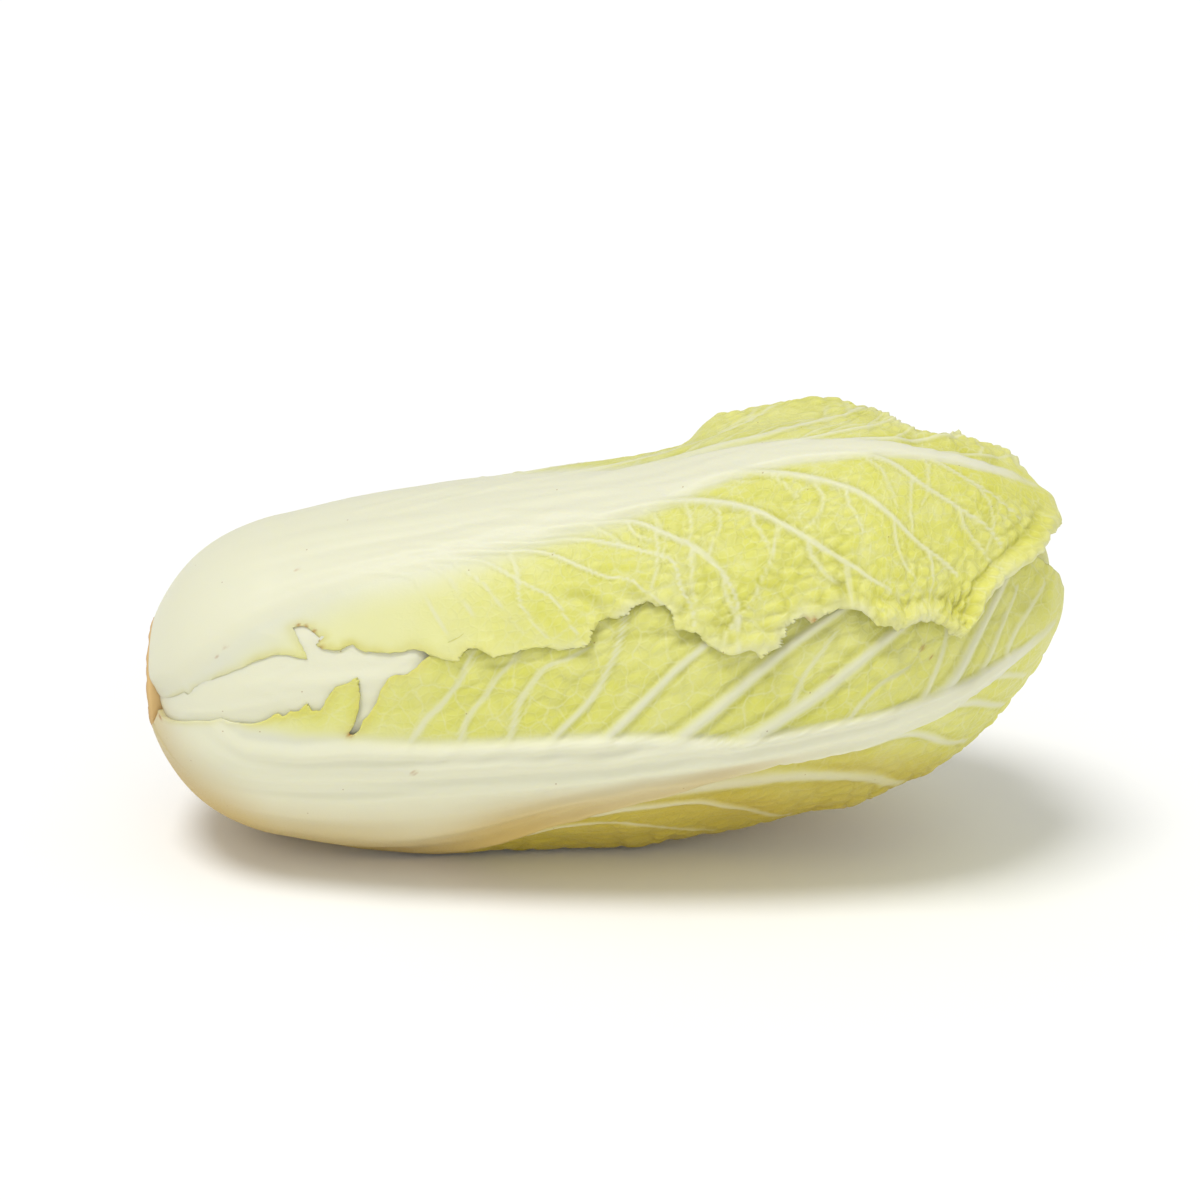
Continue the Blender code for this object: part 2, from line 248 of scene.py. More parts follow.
def fromCut(u, v, corners):
    # signed distance to a cut-out's edge in millimetres, negative inside it
    shape = np.array(corners, float)
    shape[:, 1] *= deg * headShape["girth"]
    away = np.full(len(u), 1e3)
    inside = np.zeros(len(u), bool)
    for k in range(len(shape)):
        (ax, ay), (bx, by) = shape[k - 1], shape[k]
        dx, dy, ex, ey = u - ax, v - ay, bx - ax, by - ay
        t = np.clip((dx * ex + dy * ey) / (ex * ex + ey * ey), 0, 1)
        away = np.minimum(away, np.hypot(dx - t * ex, dy - t * ey))
        crossed = (ay > v) != (by > v)
        inside ^= crossed & (dx < ex * dy / (ey + 1e-12))
    return np.where(inside, -away, away)


def startGrid(name, rows, columns):
    # a flat grid to bend: its object, and each vertex's share along and across, from 0 to 1
    bpy.ops.object.select_all(action="DESELECT")
    bpy.ops.mesh.primitive_grid_add(x_subdivisions=rows, y_subdivisions=columns, size=1)
    piece = bpy.context.object
    piece.name = name
    flat = np.empty(len(piece.data.vertices) * 3)
    piece.data.vertices.foreach_get("co", flat)
    return piece, flat[0::3] + 0.5, flat[1::3] + 0.5


def giveMarks(mesh, marks):
    # what the material reads at each vertex
    for name, values in marks.items():
        layer = mesh.attributes.new(name, "FLOAT", "POINT")
        layer.data.foreach_set("value", np.clip(values, 0, 1).astype(np.float32))


def closeUp():
    # the grid's edges meet at the seam and at both ends
    bpy.ops.object.mode_set(mode="EDIT")
    bpy.ops.mesh.select_all(action="SELECT")
    bpy.ops.mesh.remove_doubles(threshold=0.02 * mm)
    bpy.ops.mesh.normals_make_consistent(inside=False)
    bpy.ops.object.mode_set(mode="OBJECT")
    bpy.ops.object.shade_smooth()


def placeMap(mesh, u, v):
    # the UV map that the leaf's finest patterns follow, one unit for 100 mm
    corner = np.empty(len(mesh.loops), int)
    mesh.loops.foreach_get("vertex_index", corner)
    uv = np.stack([u[corner], v[corner]], axis=1) / 100
    mesh.uv_layers[0].data.foreach_set("uv", uv.ravel())
    mesh.uv_layers[0].name = "leafPlace"
    return corner


def growLeaf(leaf):
    # one leaf: its outline, stalk, veins and quilting laid on the head, then given its thickness
    piece, at, across = startGrid(leaf["name"], leaf["rows"], leaf["columns"])
    mesh = piece.data
    across = (across - 0.5) * 2
    out = np.abs(across)
    tip = leaf["tip"]
    seed = leaf["seed"]

    # the grid is bent to the leaf's outline
    lean = along(layerShape["leanAt"], layerShape["lean"], at) * leaf["sweep"]
    bow = np.where(lean > 0, out**1.5, np.sin(out * math.pi / 2))
    edge = tip * at + lean
    wide = np.where(across < 0, between(edge, leaf["lowSide"]), between(edge, leaf["highSide"]))
    girth = headShape["girth"]
    frill = hills(edge, across * 9, 4.5, seed) * 0.9 + hills(edge, across * 9, 2.1, seed + 1) * 0.45
    frill = frill * ease(45, 90, edge) * leaf.get("frill", 1)
    wide = wide * deg * girth + frill
    u = tip * at + lean * bow
    v = across * wide
    u = u + ease(0.9, 1, at) * hills(v, v * 0, 5, seed + 2) * 1.6

    # the outline is cut sharp: the nearest places move onto it, and what is outside goes
    def gapAt(u, v):
        crinkleU = hills(u, v, 3.4, seed + 20) * 0.55 + hills(u, v, 1.7, seed + 21) * 0.3
        crinkleV = hills(u, v, 3.4, seed + 22) * 0.55 + hills(u, v, 1.7, seed + 23) * 0.3
        strength = ease(25, 85, u) * leaf.get("crinkle", 1)
        gap = np.full(len(u), 99.0)
        for corners in leaf.get("cuts", ()):
            gap = np.minimum(gap, fromCut(u + crinkleU * strength, v + crinkleV * strength, corners))
        return gap

    inside = gapAt(u, v)
    slopeU = (gapAt(u + 0.15, v) - gapAt(u - 0.15, v)) / 0.3
    slopeV = (gapAt(u, v + 0.15) - gapAt(u, v - 0.15)) / 0.3
    steep = np.maximum(slopeU**2 + slopeV**2, 0.5)
    snap = (inside > -1) & (inside < 0.3)
    u = np.where(snap, u - inside * slopeU / steep, u)
    v = np.where(snap, v - inside * slopeV / steep, v)
    toMargin = np.minimum(wide * (1 - out), (1 - at) * tip + 0.3 * wide * (1 - out))
    toMargin = np.minimum(toMargin, np.maximum(inside, 0))

    # the midrib and the white stalk that it grows out of
    middle = between(u, leaf["midrib"]) * deg * girth
    if leaf.get("stalkSides"):
        lowHalf, highHalf = leaf["stalkSides"]
        half = np.where(v < middle, between(u, lowHalf), between(u, highHalf))
    else:
        half = along(np.linspace(0, tip, len(leaf["stalk"])), leaf["stalk"], u)
    half = half * deg * girth
    offMidrib = np.abs(v - middle)
    inBlade = ease(*leaf.get("shoulder", (0.5, 1.15)), offMidrib / half)
    inBlade = np.maximum(inBlade, ease(0.8, 0.95, u / tip))
    inStalk = 1 - inBlade

    # veins stand proud of the blade and carry the white of the midrib out into it
    ridge, furrow, white = np.zeros(len(u)), np.zeros(len(u)), np.zeros(len(u))
    mains = leaf["veins"]
    broad, taper, bend = leaf.get("taper", (1.05, 0.85, 0.5))
    for k, (width, height, points) in enumerate(mains):
        which, away, share = nearPath(u, v, smoothPath(points), width * 4 + 2)
        near = away / (width * (broad - taper * share**bend if k else 1.15 - 0.85 * share**2))
        tall = height * (1 - 0.7 * share)
        lift(ridge, which, tall * np.exp(-(near**2.2)))
        lift(furrow, which, 0.3 * tall * bell(near - 1.9, 0.7))
        bright = min(1, width / 1.5) * (1 - 0.3 * share)
        lift(white, which, bright * np.exp(-((near / 1.15) ** 3)))
    for width, height, path in branches(mains, seed + 7, leaf.get("bare", 1)):
        which, away, share = nearPath(u, v, path, 3)
        near = away / (width * (1.1 - 0.4 * share))
        lift(ridge, which, height * (1 - 0.5 * share) * bell(near, 1))
        lift(furrow, which, 0.16 * bell(near - 2, 0.7))
        lift(white, which, 0.66 * (1 - 0.4 * share) * bell(near, 1))
    furrow = furrow * (1 - np.clip(white * 1.4, 0, 1)) * inBlade * ease(70, 130, u)

    # the blade is quilted between the finest veins
    warpU = u + hills(u, v, 7, seed + 3) * 1.6
    warpV = v + hills(u, v, 7, seed + 4) * 1.6
    wall = fromWall(warpU, warpV, leaf["quilt"], 0.68, seed + 5)
    grown = ease(*leaf.get("grownFrom", (60, 150)), u) * ease(0, 12, offMidrib - half) * (1 - 0.85 * white)
    patchy = 0.5 + 0.5 * hills(u, v, 14, seed + 6)
    nearEdge = (0.45 + 0.55 * bell(toMargin, 22)) * (1 - 0.15 * ease(235, 275, u))
    netPatch = 0.5 + 0.5 * hills(u, v, 6, seed + 15)
    net = leaf.get("netWhite", 1) * bell(wall, 0.62) * inBlade * ease(80, 190, u)
    netShow = leaf.get("netShow", 0.6)
    net = net * ease(1 - netShow, 1.3 - netShow, netPatch)
    blister = (1 - bell(wall, 1.3)) * leaf["blister"] * grown * nearEdge
    blister = blister * (0.5 + 0.7 * patchy)
    wrinkle = hills(u + v * 0.2, v * leaf.get("wrinkles", 1.9), 6.2, seed + 24)
    blister = blister + leaf["blister"] * 0.26 * wrinkle * grown * (0.4 + 0.6 * patchy)
    crease = bell(wall, 0.75) * grown * nearEdge * (0.3 + 0.9 * patchy)
    crease = np.maximum(crease, 0.7 * ease(-0.15, -0.8, wrinkle) * grown * patchy)
    swell = hills(u, v, 26, seed + 8) * 0.9 * grown + hills(u, v, 11, seed + 9) * 0.45 * grown

    # long soft ribs in the stalk, and the ruffled margin
    lane = (v - middle) / np.maximum(half, 13)
    bands = np.cos(lane * leaf.get("bands", 4) * math.pi + hills(u, v, 50, seed + 10) * 1.3)
    finer = np.cos(lane * leaf.get("bands", 4) * 2.3 * math.pi + hills(u, v, 40, seed + 16))
    bands = bands + 0.4 * finer * ease(12, 22, half)
    calm = 1 - leaf.get("calm", 0.6) * ease(120, 190, u)
    stalkRelief = leaf["grooves"] * bands * inStalk * ease(15, 90, u) * calm
    waves = 0.5 + 0.5 * hills(u, v * 0.35, leaf["waveSize"], seed + 11)
    curl = leaf["ruffle"] * bell(toMargin, 7) * waves * ease(60, 110, u)
    flare = np.where(across > 0, leaf.get("flareHigh", 0), 0) * ease(0.58, 0.9, out)
    curl = curl + flare * ease(181, 195, u) * ease(262, 224, u)
    tuck = np.where(across > 0, leaf.get("tuckHigh", 0), leaf.get("tuckLow", 0)) * ease(0.55, 0.95, out)
    curl = curl - tuck * ease(50, 90, u) * inBlade
    layLow, layHigh = (between(u, leaf.get(side, [(0, 0)])) for side in ("layLow", "layHigh"))
    curl = curl - np.where(across > 0, layHigh, layLow) * bell(toMargin, 13)
    crumple = leaf.get("crumple", 0) * ease(0.74, 0.86, u / tip) * ease(-4, 10, v)
    curl = curl + crumple * (hills(u, v, 9, seed + 12) + 0.5 * hills(u, v, 4.5, seed + 13))

    # dents and folds sink the surface and also darken its colour there, as painted shade
    dentAndFoldShade = np.zeros(len(u))
    for place, side, size, deep in leaf.get("dents", ()):
        near = np.exp(-((u - place) ** 2 + (v - side * deg * girth) ** 2) / size**2)
        curl = curl - deep * near
        dentAndFoldShade = np.maximum(dentAndFoldShade, near)
    for width, deep, line in leaf.get("folds", ()):
        which, away, share = nearPath(u, v, smoothPath(line), width * 4)
        near = bell(away, width) * ease(0, 0.25, share) * ease(1.05, 0.8, share)
        curl[which] = curl[which] - deep * near
        lift(dentAndFoldShade, which, near)
    if leaf.get("crown"):
        crown = leaf["crown"]
        turn = v / deg / girth
        lowEdge, highEdge = between(u, crown["lowEdge"]), crown["highEdge"]
        swelling = ease(crown["end"], crown["end"] - 26, u)
        swelling = swelling * ease(lowEdge - 9, lowEdge, turn) * ease(highEdge + 9, highEdge, turn)
        curl = curl + crown["rise"] * swelling
    if leaf.get("rolled"):
        rollFrom, rollHeight = leaf["rolled"]
        roll = ease(rollFrom, rollFrom + 18, u) * ease(4, -12, v)
        curl = curl + roll * rollHeight * bell(toMargin - 2.6, 2.6)
        furrow = np.maximum(furrow, roll * 0.6 * bell(toMargin - 7.5, 1.1))
    relief = ridge * (0.3 + 0.7 * inBlade) + blister * (1 - 0.8 * white) + swell + stalkRelief - furrow
    young = ease(0.1, 0.3, at)
    sunk = leaf["bladeDepth"] * young + 1.6 * (1 - young)
    ringDepth = along(layerShape["at"], leaf.get("start", 0 * layerShape["at"]), u * mm)
    sunk = sunk * (0.62 + 0.38 * ease(0, 15, offMidrib - half))
    depth = ringDepth + (inBlade * sunk - relief + 0.4 - curl) * mm
    spine = along([0, tip / 2, tip], leaf["spine"], u) * deg
    points = headPoint(u * mm, v / girth, spine, depth)
    if leaf.get("rests"):
        points[:, 2] = np.maximum(points[:, 2], 0)
    mesh.vertices.foreach_set("co", points.ravel())

    # the marks that the material reads: whiteness, greenness, the net, painted shade in the hollows,
    # browned places
    whiteStalk = leaf["whiteStalk"](u, v, offMidrib / half) * ease(0.97, 0.88, u / tip)
    pale = np.maximum(white * ease(40, 110, u) * 0.95, whiteStalk)
    sideways = leaf.get("sideways", 4.5) * np.clip(offMidrib - half, -6, 14)
    green = ease(*leaf.get("greenFrom", (50, 150)), u + sideways)
    green = green * (0.86 + 0.14 * hills(u, v, 22, seed + 14)) * leaf["green"]
    green = green * (1 - leaf.get("fading", 0) * ease(4, 18, v))
    beside = np.clip(white * 1.2, 0, 1)
    # painted shade: the quilting's creases, the furrows beside the veins, and the folds and dents are
    # darkened
    hollow = np.clip(crease * (1 - beside) * (1 - 0.7 * net) + furrow * 2.2 + dentAndFoldShade * 0.8, 0, 1)
    brown = np.zeros(len(u))
    for place, side, size in leaf.get("brown", ()):
        offU, offV = (u - place) / size, (v - side * deg * girth) / size
        brown = np.maximum(brown, np.exp(-(offU**2 + offV**2)))

    # painted shade and warm bounce light: the underside, the lower flank of the stalk and the green tissue
    # that faces down are coloured darker, tan to olive
    middleX, middleY = headShape["middle"]
    core = np.clip(points[:, 0] + middleX, headShape["stemCentre"], headShape["tipCentre"])
    coreHeight = along(headShape["axisAt"], headShape["axisHeight"], core)
    outward = points - np.stack([core - middleX, 0 * core - middleY, coreHeight], axis=1)
    outward = outward / np.linalg.norm(outward, axis=1)[:, None]
    turnedDown = -(outward @ np.array([0.45, 0, 0.9]))
    # painted shade along the stalk's lower flank, on its side below the midrib
    flank = leaf.get("flank", 0) * ease(-0.12, 0.5, (middle - v) / half)
    flank = flank * ease(95, 135, u) * ease(235, 190, u)
    paintedShadeBelow = ease(0.25, 0.88, turnedDown + flank) * (1 - 0.6 * white * inBlade)
    tissueGreen = np.clip(green * (1 - pale), 0, 1)
    paintedShadeBelow = np.maximum(paintedShadeBelow, tissueGreen * ease(0.1, 0.62, turnedDown))
    rim = bell(toMargin, 2.2) * (0.7 + 0.3 * hills(u, v, 6, seed + 17)) * ease(140, 90, u)
    lip = bell(toMargin, 3.2) * (0.5 + 0.5 * hills(u, v, 9, seed + 18)) * ease(110, 160, u)
    pale = np.maximum(pale, 0.6 * lip)
    giveMarks(mesh, {
        "white": pale, "green": green, "net": net, "hollow": hollow,
        "brown": brown, "paintedShadeBelow": paintedShadeBelow, "rim": rim,
    })
    corner = placeMap(mesh, u, v)

    # the stalk is thick and the blade thin
    weights = np.clip(inStalk * ease(1.0, 0.75, u / tip), 0, 1)
    group = piece.vertex_groups.new(name="thick")
    for level in range(1, 17):
        members = np.nonzero(np.round(weights * 16) == level)[0]
        if len(members):
            group.add([int(i) for i in members], level / 16, "REPLACE")
    if leaf.get("cuts"):
        around = inside[corner.reshape(-1, 4)]
        outside = (around.min(axis=1) < -1) | (around.max(axis=1) < 0.3)
        bpy.ops.object.mode_set(mode="EDIT")
        bpy.ops.mesh.select_mode(type="FACE")
        bpy.ops.mesh.select_all(action="DESELECT")
        bpy.ops.object.mode_set(mode="OBJECT")
        mesh.polygons.foreach_set("select", outside)
        bpy.ops.object.mode_set(mode="EDIT")
        bpy.ops.mesh.delete(type="FACE")
        bpy.ops.object.mode_set(mode="OBJECT")
    bpy.ops.object.shade_smooth()
    solid = piece.modifiers.new("thickness", "SOLIDIFY")
    solid.thickness = leaf["thick"] * mm
    solid.offset = -1  # inwards from the outer skin
    solid.vertex_group = "thick"
    solid.thickness_vertex_group = leaf["thin"] / leaf["thick"]
    bpy.ops.object.modifier_apply(modifier=solid.name)
    piece.data.materials.append(leaf["material"])
    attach(piece, "root")
    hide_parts(leaf["node"])
    print(leaf["name"], "grown,", len(piece.data.polygons), "faces")


def addNode(tree, kind, settings, links=()):
    # settings in lower case are the node's own, the rest are its sockets
    node = tree.nodes.new(kind)
    for name, value in settings.items():
        if isinstance(name, str) and name[0].islower():
            setattr(node, name, value)
        else:
            node.inputs[name].default_value = value
    for socket, source in links:
        tree.links.new(source, node.inputs[socket])
    return node


def colour(hexCode):
    # sRGB hex to the linear colour that the shader wants
    parts = [int(hexCode[i:i + 2], 16) / 255 for i in (1, 3, 5)]
    return [c / 12.92 if c <= 0.04045 else ((c + 0.055) / 1.055) ** 2.4 for c in parts] + [1]


def startMaterial(name):
    made = bpy.data.materials.new(name)
    made.use_nodes = True
    tree = made.node_tree
    return made, tree, tree.nodes["Principled BSDF"]


def mixColour(tree, amount, first, second):
    # a mix whose ends are colours or other nodes' outputs
    node = addNode(tree, "ShaderNodeMix", {"data_type": "RGBA"})
    for socket, end in ((6, first), (7, second)):
        if isinstance(end, str):
            node.inputs[socket].default_value = colour(end)
        else:
            tree.links.new(end, node.inputs[socket])
    tree.links.new(amount, node.inputs[0])
    return node.outputs[2]


def mathNode(tree, operation, first, second):
    node = addNode(tree, "ShaderNodeMath", {"operation": operation, "use_clamp": True})
    for socket, end in ((0, first), (1, second)):
        if isinstance(end, (int, float)):
            node.inputs[socket].default_value = end
        else:
            tree.links.new(end, node.inputs[socket])
    return node.outputs[0]


def ramp(tree, value, span, ends):
    # a value's span from low to high, as one that runs between the two ends
    settings = {"From Min": span[0], "From Max": span[1], "To Min": ends[0], "To Max": ends[1]}
    return addNode(tree, "ShaderNodeMapRange", settings, [("Value", value)]).outputs[0]


def pattern(tree, kind, place, size, settings=()):
    # a flat noise or net of cells on the leaf's map, its size in millimetres
    settings = {kind.lower() + "_dimensions": "2D", "Scale": 100 / size, **dict(settings)}
    return addNode(tree, "ShaderNodeTex" + kind, settings, [("Vector", place)]).outputs


def bump(tree, height, strength, distance, normal=None):
    # fine relief in the shading alone, its distance in millimetres
    node = addNode(
        tree, "ShaderNodeBump", {"Strength": strength, "Distance": distance * mm}, [("Height", height)],
    )
    if normal is not None:
        tree.links.new(normal, node.inputs["Normal"])
    return node.outputs[0]


leafFinish = {
    "rib": "#E0DFC4",  # stalks and ribs are white, water-filled tissue
    "pale": "#E6E4A8",  # blade near the stalk
    "deep": "#DAD862",  # full-grown blade, yellow-green
    "shade": "#B0AE36",  # hollows of the quilting
    "vein": "#E4E3AE",
    "rim": "#CFC765",
    "brown": "#AC762E",
    "speck": "#9A743A",
    # painted shade and warm bounce light for the underside: tan over stalks and ribs, olive over the blade
    "paintedShadeBelow": "#BD9D45",
    "under": "#B9A433",
    "veinNet": 2.9,  # mm between the finest veins
    "wideNet": 8.0,  # mm between the next finest
    "openNet": 0.2,  # how white the wide net is
    "sway": 7,  # mm, the size of the wide net's bends
    "mottle": 9,  # mm, the size of the paler and darker patches
    "speckSpacing": 13,  # mm
    "grain": 0.7,  # mm, surface cells drawn coarser than real so that they show
}


def leafTissue(name, finish):
    # leaf tissue: waxy, soft-lit skin that lets some light through
    made, tree, shader = startMaterial(name)
    place = addNode(tree, "ShaderNodeUVMap", {"uv_map": "leafPlace"}).outputs[0]
    mark = {
        n: addNode(tree, "ShaderNodeAttribute", {"attribute_name": n}).outputs["Fac"]
        for n in ("white", "green", "net", "hollow", "brown", "paintedShadeBelow", "rim")
    }
    edges = {"feature": "DISTANCE_TO_EDGE"}
    fineNet = pattern(tree, "Voronoi", place, finish["veinNet"], edges)
    fine = ramp(tree, fineNet["Distance"], (0.02, 0.16), (1, 0))
    blade = mathNode(tree, "SUBTRACT", mark["green"], mark["white"])
    fine = mathNode(tree, "MULTIPLY", fine, blade)
    sway = pattern(tree, "Noise", place, finish["sway"])
    swayed = addNode(
        tree, "ShaderNodeVectorMath", {"operation": "MULTIPLY_ADD", 1: (0.04, 0.04, 0)},
        [(0, sway["Color"]), (2, place)],
    ).outputs[0]
    wideNet = pattern(tree, "Voronoi", swayed, finish["wideNet"], edges)
    wide = ramp(tree, wideNet["Distance"], (0.015, 0.07), (1, 0))
    wide = mathNode(tree, "MULTIPLY", wide, blade)
    mottle = pattern(tree, "Noise", place, finish["mottle"], {"Detail": 4, "Roughness": 0.6})[0]
    grain = pattern(tree, "Noise", place, finish["grain"], {"Detail": 2})[0]
    spots = pattern(tree, "Voronoi", place, finish["speckSpacing"])
    speck = ramp(tree, spots["Distance"], (0.01, 0.026), (1, 0))
    chosen = addNode(tree, "ShaderNodeSeparateColor", {}, [("Color", spots["Color"])])
    chosen = mathNode(tree, "GREATER_THAN", chosen.outputs[0], 0.86)
    speck = mathNode(tree, "MULTIPLY", speck, chosen)

    greenish = ramp(tree, mottle, (0.3, 0.7), (0.75, 1.15))
    greenish = mathNode(tree, "MULTIPLY", mark["green"], greenish)
    skin = mixColour(tree, greenish, finish["pale"], finish["deep"])
    # painted shade: the hollow mark darkens the skin towards the shade colour
    hollow = mathNode(tree, "MULTIPLY", mark["hollow"], 0.5)
    skin = mixColour(tree, hollow, skin, finish["shade"])
    lines = mathNode(tree, "MULTIPLY", fine, 0.16)
    lines = mathNode(tree, "ADD", lines, mathNode(tree, "MULTIPLY", mark["net"], 0.6))
    lines = mathNode(tree, "ADD", lines, mathNode(tree, "MULTIPLY", wide, finish["openNet"]))
    skin = mixColour(tree, lines, skin, finish["vein"])
    skin = mixColour(tree, mathNode(tree, "MULTIPLY", mark["rim"], 0.6), skin, finish["rim"])
    skin = mixColour(tree, mark["white"], skin, finish["rib"])
    skin = mixColour(tree, mathNode(tree, "MULTIPLY", mark["rim"], 0.45), skin, finish["rim"])
    # painted shade and warm bounce light below: where the mark is high the skin turns tan on the stalk and
    # olive on the blade
    tissue = mathNode(tree, "MULTIPLY", mark["green"], mathNode(tree, "SUBTRACT", 1, mark["white"]))
    stainAndShade = mixColour(tree, tissue, finish["paintedShadeBelow"], finish["under"])
    skin = mixColour(tree, mathNode(tree, "MULTIPLY", mark["paintedShadeBelow"], 0.88), skin, stainAndShade)
    skin = mixColour(tree, mark["brown"], skin, finish["brown"])
    skin = mixColour(tree, mathNode(tree, "MULTIPLY", speck, 0.6), skin, finish["speck"])
    tree.links.new(skin, shader.inputs["Base Color"])

    rough = ramp(tree, grain, (0.3, 0.7), (0.42, 0.58))
    tree.links.new(rough, shader.inputs["Roughness"])
    raised = mathNode(tree, "ADD", fine, mathNode(tree, "MULTIPLY", wide, finish["openNet"] * 2))
    veinBump = bump(tree, raised, 0.35, 0.25)
    tree.links.new(bump(tree, grain, 0.25, 0.1, veinBump), shader.inputs["Normal"])
    shader.inputs["IOR"].default_value = 1.42
    shader.inputs["Subsurface Weight"].default_value = 0.4
    shader.inputs["Subsurface Radius"].default_value = (1.0, 0.9, 0.45)
    shader.inputs["Subsurface Scale"].default_value = 3.5 * mm
    return made


outerSkin = leafTissue("napaLeafTissue", leafFinish)
frontSkin = leafTissue("frontLeafTissue", {**leafFinish, "openNet": 0.34})
innerSkin = leafTissue("youngLeafTissue", {**leafFinish, "deep": "#DED772", "pale": "#EBE7BA"})


def stalkWhite(reach, soft):
    # white over the stalk, fading softly into the blade
    def amount(u, v, off):
        wide = 1.0 + 0.25 * ease(90, 30, u)
        return ease(reach * wide + soft, reach * wide - soft * 0.4, off)
    return amount


